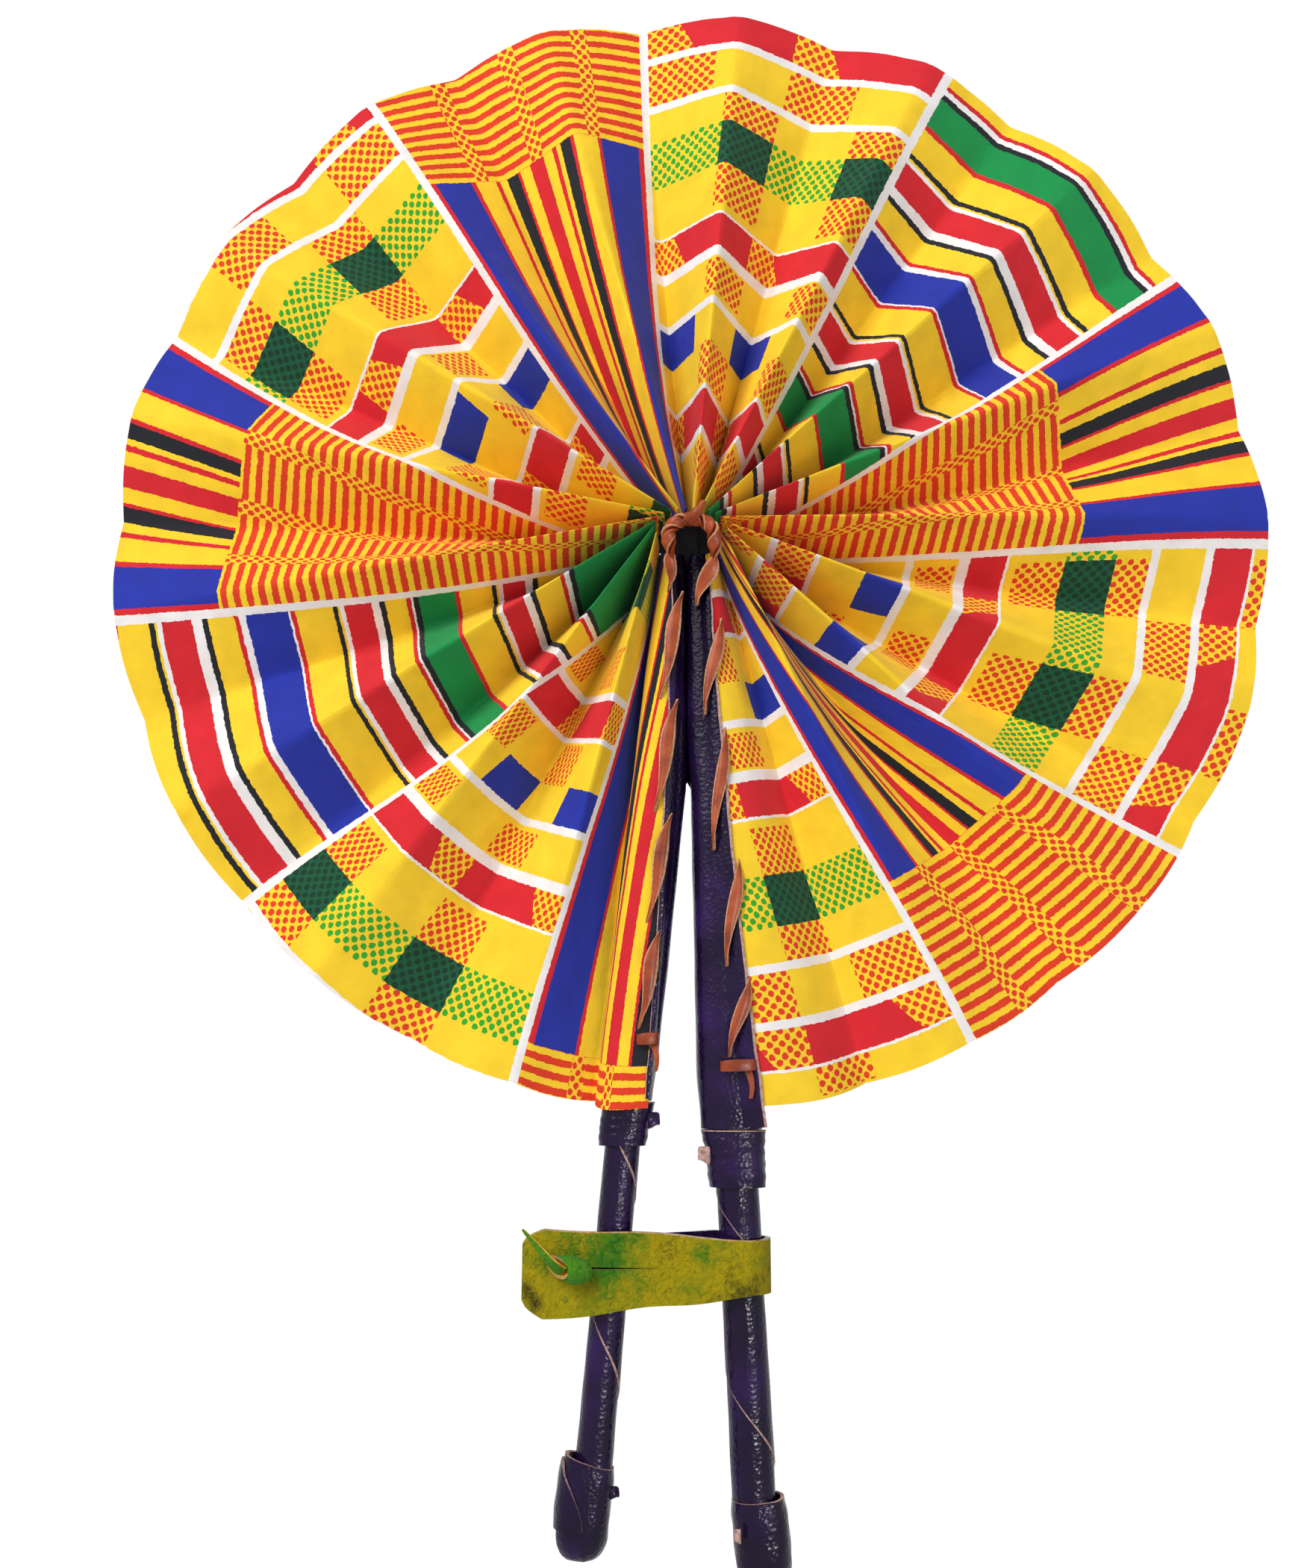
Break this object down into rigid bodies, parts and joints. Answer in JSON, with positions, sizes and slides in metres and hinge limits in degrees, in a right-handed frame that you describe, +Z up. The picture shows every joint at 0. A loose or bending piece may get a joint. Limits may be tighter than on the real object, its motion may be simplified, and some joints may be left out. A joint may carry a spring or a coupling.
{
  "type": "fabric hand fan",
  "caption": "Round pleated cloth hand fan laced to two leather-covered sticks that swing round and meet to open or fold it, with a buttoned strap that holds them.",
  "frame": {"origin": "on the axis of the fixed stick, 212 mm below the hub, where the hand holds it", "axes": "+Z up toward the hub and the top of the open leaf, +Y out of the back of the leaf, +X to the right seen from the front"},
  "size_m": [0.302, 0.027, 0.4065],
  "materials": {
    "printed_cotton": "plain-woven cotton with a printed strip pattern",
    "purple_leather": "glazed, aubergine",
    "tan_lace": "split leather, rust tan",
    "strap_suede": "suede, mottled olive green",
    "button_leather": "rolled leather, green",
    "stick_wood": "bare"
  },
  "bodies": {
    "fixed_handle": {"fixed_stick": "stick_wood", "fixed_sleeve": "purple_leather", "fixed_collar": "purple_leather", "fixed_wrap": "purple_leather", "fixed_end_cap": "purple_leather", "fixed_lacing": "tan_lace", "fixed_lace_keeper": "tan_lace", "strap_band": "strap_suede"},
    "hub_link": {"hub_lace": "tan_lace"},
    "swing_handle": {"swing_stick": "stick_wood", "swing_sleeve": "purple_leather", "swing_collar": "purple_leather", "swing_wrap": "purple_leather", "swing_end_cap": "purple_leather", "swing_lacing": "tan_lace", "swing_lace_keeper": "tan_lace", "cloth_panel_01": "printed_cotton"},
    "strap_front": {"strap_flap": "strap_suede"},
    "strap_rear": {"strap_back": "strap_suede", "strap_button": "button_leather"},
    "pleat_34": {"cloth_panel_34": "printed_cotton"},
    "pleat_33": {"cloth_panel_33": "printed_cotton"},
    "pleat_32": {"cloth_panel_32": "printed_cotton"},
    "pleat_31": {"cloth_panel_31": "printed_cotton"},
    "pleat_30": {"cloth_panel_30": "printed_cotton"},
    "pleat_29": {"cloth_panel_29": "printed_cotton"},
    "pleat_28": {"cloth_panel_28": "printed_cotton"},
    "pleat_27": {"cloth_panel_27": "printed_cotton"},
    "pleat_26": {"cloth_panel_26": "printed_cotton"},
    "pleat_25": {"cloth_panel_25": "printed_cotton"},
    "pleat_24": {"cloth_panel_24": "printed_cotton"},
    "pleat_23": {"cloth_panel_23": "printed_cotton"},
    "pleat_22": {"cloth_panel_22": "printed_cotton"},
    "pleat_21": {"cloth_panel_21": "printed_cotton"},
    "pleat_20": {"cloth_panel_20": "printed_cotton"},
    "pleat_19": {"cloth_panel_19": "printed_cotton"},
    "pleat_18": {"cloth_panel_18": "printed_cotton"},
    "pleat_02": {"cloth_panel_02": "printed_cotton"},
    "pleat_03": {"cloth_panel_03": "printed_cotton"},
    "pleat_04": {"cloth_panel_04": "printed_cotton"},
    "pleat_05": {"cloth_panel_05": "printed_cotton"},
    "pleat_06": {"cloth_panel_06": "printed_cotton"},
    "pleat_07": {"cloth_panel_07": "printed_cotton"},
    "pleat_08": {"cloth_panel_08": "printed_cotton"},
    "pleat_09": {"cloth_panel_09": "printed_cotton"},
    "pleat_10": {"cloth_panel_10": "printed_cotton"},
    "pleat_11": {"cloth_panel_11": "printed_cotton"},
    "pleat_12": {"cloth_panel_12": "printed_cotton"},
    "pleat_13": {"cloth_panel_13": "printed_cotton"},
    "pleat_14": {"cloth_panel_14": "printed_cotton"},
    "pleat_15": {"cloth_panel_15": "printed_cotton"},
    "pleat_16": {"cloth_panel_16": "printed_cotton"},
    "pleat_17": {"cloth_panel_17": "printed_cotton"}
  },
  "joints": [
    {"name": "lace_turn", "type": "hinge", "parent": "fixed_handle", "child": "hub_link", "pos_m": [-0.00565, 0, 0.20901], "axis": [0, 1, 0], "range_deg": [0, 172.01]},
    {"name": "swing_turn", "type": "hinge", "parent": "hub_link", "child": "swing_handle", "pos_m": [-0.02039, 0, 0.20946], "axis": [0, 1, 0], "range_deg": [-8, 185.8]},
    {"name": "fold_33", "type": "hinge", "parent": "fixed_handle", "child": "pleat_34", "pos_m": [-0.0278, 0.00494, 0.20283], "axis": [0.3, 0.953, 0.0428], "range_deg": [-0.6, 10.3], "deforming": ["cloth_panel_34"]},
    {"name": "fold_32", "type": "hinge", "parent": "pleat_34", "child": "pleat_33", "pos_m": [-0.01428, -0.00138, 0.20809], "axis": [-0.5274, 0.831, -0.177], "range_deg": [-0.6, 12.9], "deforming": ["cloth_panel_33"]},
    {"name": "fold_31", "type": "hinge", "parent": "pleat_33", "child": "pleat_32", "pos_m": [-0.01201, -0.00016, 0.20996], "axis": [0.5128, 0.8075, 0.2915], "range_deg": [-0.6, 13.8], "deforming": ["cloth_panel_32"]},
    {"name": "fold_30", "type": "hinge", "parent": "pleat_32", "child": "pleat_31", "pos_m": [-0.01104, 0.0003, 0.20982], "axis": [-0.4499, 0.808, -0.3804], "range_deg": [-0.6, 13.8], "deforming": ["cloth_panel_31"]},
    {"name": "fold_29", "type": "hinge", "parent": "pleat_31", "child": "pleat_30", "pos_m": [-0.0104, -0.00042, 0.21029], "axis": [0.3717, 0.8084, 0.4564], "range_deg": [-0.6, 13.8], "deforming": ["cloth_panel_30"]},
    {"name": "fold_28", "type": "hinge", "parent": "pleat_30", "child": "pleat_29", "pos_m": [-0.00973, 0.00052, 0.21081], "axis": [-0.2808, 0.8087, -0.5169], "range_deg": [-0.6, 13.9], "deforming": ["cloth_panel_29"]},
    {"name": "fold_27", "type": "hinge", "parent": "pleat_29", "child": "pleat_28", "pos_m": [-0.00923, -0.0006, 0.21151], "axis": [0.1801, 0.8089, 0.5596], "range_deg": [-0.6, 13.9], "deforming": ["cloth_panel_28"]},
    {"name": "fold_26", "type": "hinge", "parent": "pleat_28", "child": "pleat_27", "pos_m": [-0.00886, 0.00064, 0.21232], "axis": [-0.0731, 0.8091, -0.5831], "range_deg": [-0.6, 13.9], "deforming": ["cloth_panel_27"]},
    {"name": "fold_25", "type": "hinge", "parent": "pleat_27", "child": "pleat_26", "pos_m": [-0.00868, -0.00066, 0.21321], "axis": [-0.0366, 0.8092, 0.5864], "range_deg": [-0.6, 14], "deforming": ["cloth_panel_26"]},
    {"name": "fold_24", "type": "hinge", "parent": "pleat_26", "child": "pleat_25", "pos_m": [-0.00868, 0.00065, 0.21413], "axis": [0.1452, 0.8093, -0.5691], "range_deg": [-0.6, 14], "deforming": ["cloth_panel_25"]},
    {"name": "fold_23", "type": "hinge", "parent": "pleat_25", "child": "pleat_24", "pos_m": [-0.00887, -0.0006, 0.21505], "axis": [-0.2489, 0.8094, 0.5318], "range_deg": [-0.6, 14], "deforming": ["cloth_panel_24"]},
    {"name": "fold_22", "type": "hinge", "parent": "pleat_24", "child": "pleat_23", "pos_m": [-0.00925, 0.00054, 0.21593], "axis": [0.344, 0.8095, -0.4758], "range_deg": [-0.6, 14], "deforming": ["cloth_panel_23"]},
    {"name": "fold_21", "type": "hinge", "parent": "pleat_23", "child": "pleat_22", "pos_m": [-0.00981, -0.00044, 0.21672], "axis": [-0.427, 0.8096, 0.4028], "range_deg": [-0.6, 14.1], "deforming": ["cloth_panel_22"]},
    {"name": "fold_20", "type": "hinge", "parent": "pleat_22", "child": "pleat_21", "pos_m": [-0.01052, 0.00033, 0.21739], "axis": [0.4949, 0.8097, -0.3154], "range_deg": [-0.6, 14.1], "deforming": ["cloth_panel_21"]},
    {"name": "fold_19", "type": "hinge", "parent": "pleat_21", "child": "pleat_20", "pos_m": [-0.01137, -0.00019, 0.2179], "axis": [-0.5453, 0.8097, 0.2167], "range_deg": [-0.6, 14.1], "deforming": ["cloth_panel_20"]},
    {"name": "fold_18", "type": "hinge", "parent": "pleat_20", "child": "pleat_19", "pos_m": [-0.0123, 0.00005, 0.21822], "axis": [0.5762, 0.8098, -0.1103], "range_deg": [-0.6, 14.1], "deforming": ["cloth_panel_19"]},
    {"name": "fold_17", "type": "hinge", "parent": "pleat_19", "child": "pleat_18", "pos_m": [-0.01328, 0.0001, 0.21835], "axis": [-0.5866, 0.8099, -0.0001], "range_deg": [-0.6, 14.1], "deforming": ["cloth_panel_18"]},
    {"name": "fold_02", "type": "hinge", "parent": "swing_handle", "child": "pleat_02", "pos_m": [0.0139, -0.01427, 0.20592], "axis": [-0.4536, -0.8898, 0.0493], "range_deg": [-0.6, 8.9], "deforming": ["cloth_panel_02"]},
    {"name": "fold_03", "type": "hinge", "parent": "pleat_02", "child": "pleat_03", "pos_m": [-0.01455, -0.00018, 0.2095], "axis": [0.5549, -0.8097, -0.1908], "range_deg": [-0.6, 13.8], "deforming": ["cloth_panel_03"]},
    {"name": "fold_04", "type": "hinge", "parent": "pleat_03", "child": "pleat_04", "pos_m": [-0.01533, 0.00036, 0.20963], "axis": [-0.51, -0.8101, 0.2893], "range_deg": [-0.6, 13.8], "deforming": ["cloth_panel_04"]},
    {"name": "fold_05", "type": "hinge", "parent": "pleat_04", "child": "pleat_05", "pos_m": [-0.01608, -0.00051, 0.20993], "axis": [0.4477, -0.8103, -0.378], "range_deg": [-0.6, 13.8], "deforming": ["cloth_panel_05"]},
    {"name": "fold_06", "type": "hinge", "parent": "pleat_05", "child": "pleat_06", "pos_m": [-0.01675, 0.00063, 0.21042], "axis": [-0.3702, -0.8104, 0.454], "range_deg": [-0.6, 13.8], "deforming": ["cloth_panel_06"]},
    {"name": "fold_07", "type": "hinge", "parent": "pleat_06", "child": "pleat_07", "pos_m": [-0.01734, -0.00073, 0.21102], "axis": [0.2798, -0.8105, -0.5145], "range_deg": [-0.6, 13.8], "deforming": ["cloth_panel_07"]},
    {"name": "fold_08", "type": "hinge", "parent": "pleat_07", "child": "pleat_08", "pos_m": [-0.01776, 0.00081, 0.21178], "axis": [-0.1797, -0.8105, 0.5575], "range_deg": [-0.6, 13.9], "deforming": ["cloth_panel_08"]},
    {"name": "fold_09", "type": "hinge", "parent": "pleat_08", "child": "pleat_09", "pos_m": [-0.01807, -0.00085, 0.21261], "axis": [0.0731, -0.8105, -0.5812], "range_deg": [-0.6, 13.9], "deforming": ["cloth_panel_09"]},
    {"name": "fold_10", "type": "hinge", "parent": "pleat_09", "child": "pleat_10", "pos_m": [-0.01816, 0.00087, 0.2135], "axis": [0.0363, -0.8105, 0.5847], "range_deg": [-0.6, 13.9], "deforming": ["cloth_panel_10"]},
    {"name": "fold_11", "type": "hinge", "parent": "pleat_10", "child": "pleat_11", "pos_m": [-0.01812, -0.00086, 0.21442], "axis": [-0.1447, -0.8104, -0.5677], "range_deg": [-0.6, 14], "deforming": ["cloth_panel_11"]},
    {"name": "fold_12", "type": "hinge", "parent": "pleat_11", "child": "pleat_12", "pos_m": [-0.01785, 0.00082, 0.21532], "axis": [0.2482, -0.8103, 0.5308], "range_deg": [-0.6, 14], "deforming": ["cloth_panel_12"]},
    {"name": "fold_13", "type": "hinge", "parent": "pleat_12", "child": "pleat_13", "pos_m": [-0.01744, -0.00075, 0.21618], "axis": [-0.3432, -0.8103, -0.4751], "range_deg": [-0.6, 14], "deforming": ["cloth_panel_13"]},
    {"name": "fold_14", "type": "hinge", "parent": "pleat_13", "child": "pleat_14", "pos_m": [-0.01682, 0.00065, 0.21691], "axis": [0.4263, -0.8102, 0.4024], "range_deg": [-0.6, 14], "deforming": ["cloth_panel_14"]},
    {"name": "fold_15", "type": "hinge", "parent": "pleat_14", "child": "pleat_15", "pos_m": [-0.01609, -0.00053, 0.21756], "axis": [-0.4943, -0.8101, -0.3153], "range_deg": [-0.6, 14.1], "deforming": ["cloth_panel_15"]},
    {"name": "fold_16", "type": "hinge", "parent": "pleat_15", "child": "pleat_16", "pos_m": [-0.01521, 0.0004, 0.218], "axis": [0.5448, -0.81, 0.2168], "range_deg": [-0.6, 14.1], "deforming": ["cloth_panel_16"]},
    {"name": "fold_17_left", "type": "hinge", "parent": "pleat_16", "child": "pleat_17", "pos_m": [-0.01427, -0.00025, 0.2183], "axis": [-0.576, -0.81, -0.1105], "range_deg": [-0.6, 14.1], "deforming": ["cloth_panel_17"]},
    {"name": "strap_lift", "type": "hinge", "parent": "fixed_handle", "child": "strap_front", "pos_m": [0.00078, -0.0063, 0.0261], "axis": [0, 0, 1], "range_deg": [0, 100], "deforming": ["strap_flap"]},
    {"name": "strap_bend", "type": "hinge", "parent": "fixed_handle", "child": "strap_rear", "pos_m": [0.00078, 0.0063, 0.0261], "axis": [0, 0, -1], "range_deg": [0, 45], "deforming": ["strap_flap"]}
  ],
  "couplings": [
    {"joint": "swing_turn", "follows": "lace_turn", "ratio": 1.0286},
    {"joint": "fold_33", "follows": "lace_turn", "ratio": 0.056564},
    {"joint": "fold_32", "follows": "lace_turn", "ratio": 0.071141},
    {"joint": "fold_31", "follows": "lace_turn", "ratio": 0.076097},
    {"joint": "fold_30", "follows": "lace_turn", "ratio": 0.07623},
    {"joint": "fold_29", "follows": "lace_turn", "ratio": 0.07637},
    {"joint": "fold_28", "follows": "lace_turn", "ratio": 0.076517},
    {"joint": "fold_27", "follows": "lace_turn", "ratio": 0.076669},
    {"joint": "fold_26", "follows": "lace_turn", "ratio": 0.076824},
    {"joint": "fold_25", "follows": "lace_turn", "ratio": 0.07698},
    {"joint": "fold_24", "follows": "lace_turn", "ratio": 0.077133},
    {"joint": "fold_23", "follows": "lace_turn", "ratio": 0.077277},
    {"joint": "fold_22", "follows": "lace_turn", "ratio": 0.077409},
    {"joint": "fold_21", "follows": "lace_turn", "ratio": 0.077523},
    {"joint": "fold_20", "follows": "lace_turn", "ratio": 0.077616},
    {"joint": "fold_19", "follows": "lace_turn", "ratio": 0.077683},
    {"joint": "fold_18", "follows": "lace_turn", "ratio": 0.077721},
    {"joint": "fold_17", "follows": "lace_turn", "ratio": 0.077729},
    {"joint": "fold_02", "follows": "lace_turn", "ratio": 0.048831},
    {"joint": "fold_03", "follows": "lace_turn", "ratio": 0.075855},
    {"joint": "fold_04", "follows": "lace_turn", "ratio": 0.075969},
    {"joint": "fold_05", "follows": "lace_turn", "ratio": 0.076095},
    {"joint": "fold_06", "follows": "lace_turn", "ratio": 0.076232},
    {"joint": "fold_07", "follows": "lace_turn", "ratio": 0.07638},
    {"joint": "fold_08", "follows": "lace_turn", "ratio": 0.076537},
    {"joint": "fold_09", "follows": "lace_turn", "ratio": 0.0767},
    {"joint": "fold_10", "follows": "lace_turn", "ratio": 0.076865},
    {"joint": "fold_11", "follows": "lace_turn", "ratio": 0.077029},
    {"joint": "fold_12", "follows": "lace_turn", "ratio": 0.077186},
    {"joint": "fold_13", "follows": "lace_turn", "ratio": 0.077332},
    {"joint": "fold_14", "follows": "lace_turn", "ratio": 0.077461},
    {"joint": "fold_15", "follows": "lace_turn", "ratio": 0.077569},
    {"joint": "fold_16", "follows": "lace_turn", "ratio": 0.077651},
    {"joint": "fold_17_left", "follows": "lace_turn", "ratio": 0.077705}
  ]
}
